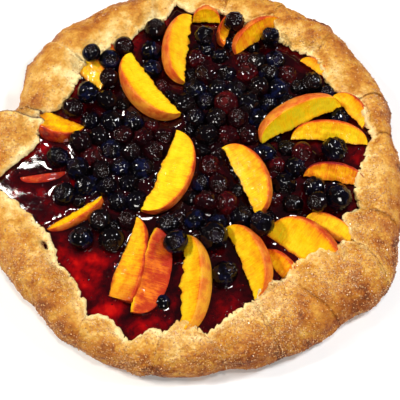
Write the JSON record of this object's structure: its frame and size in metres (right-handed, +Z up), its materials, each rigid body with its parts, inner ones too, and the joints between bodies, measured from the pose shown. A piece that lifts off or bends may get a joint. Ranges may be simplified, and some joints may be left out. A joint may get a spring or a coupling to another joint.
{
  "type": "fruit galette",
  "caption": "Round free-form fruit tart: a pleated pastry border folded over set red juice, peach slices and blueberries.",
  "frame": {"origin": "centre of the footprint's bounding box, on the flat underside", "axes": "+Z up out of the filling, -Y towards the viewer, +X to the viewer's right"},
  "size_m": [0.2886, 0.2912, 0.0365],
  "materials": {
    "pastry": "baked golden pastry with browned patches and coarse sugar",
    "juice": "glossy set fruit juice",
    "peach": "moist baked peach flesh with an orange to red skin",
    "blueberry": "dark wet baked blueberry"
  },
  "bodies": {
    "root": {"berry_01": "blueberry", "berry_02": "blueberry", "berry_03": "blueberry", "berry_04": "blueberry", "berry_05": "blueberry", "berry_06": "blueberry", "berry_07": "blueberry", "berry_08": "blueberry", "berry_09": "blueberry", "berry_10": "blueberry", "berry_11": "blueberry", "berry_12": "blueberry", "berry_13": "blueberry", "berry_14": "blueberry", "berry_15": "blueberry", "berry_16": "blueberry", "berry_17": "blueberry", "berry_18": "blueberry", "berry_19": "blueberry", "berry_20": "blueberry", "berry_21": "blueberry", "berry_22": "blueberry", "berry_23": "blueberry", "berry_24": "blueberry", "berry_25": "blueberry", "berry_26": "blueberry", "berry_27": "blueberry", "berry_28": "blueberry", "berry_29": "blueberry", "berry_30": "blueberry", "berry_31": "blueberry", "berry_32": "blueberry", "berry_33": "blueberry", "berry_heap": "blueberry", "crust": "pastry", "filling": "juice", "peach_01": "peach", "peach_02": "peach", "peach_03": "peach", "peach_04": "peach", "peach_05": "peach", "peach_06": "peach", "peach_07": "peach", "peach_08": "peach", "peach_09": "peach", "peach_10": "peach", "peach_11": "peach", "peach_12": "peach", "peach_13": "peach", "peach_14": "peach", "peach_15": "peach", "peach_16": "peach", "peach_17": "peach", "peach_18": "peach", "peach_19": "peach", "peach_20": "peach", "peach_21": "peach", "peach_22": "peach", "peach_23": "peach", "peach_24": "peach"}
  },
  "joints": []
}
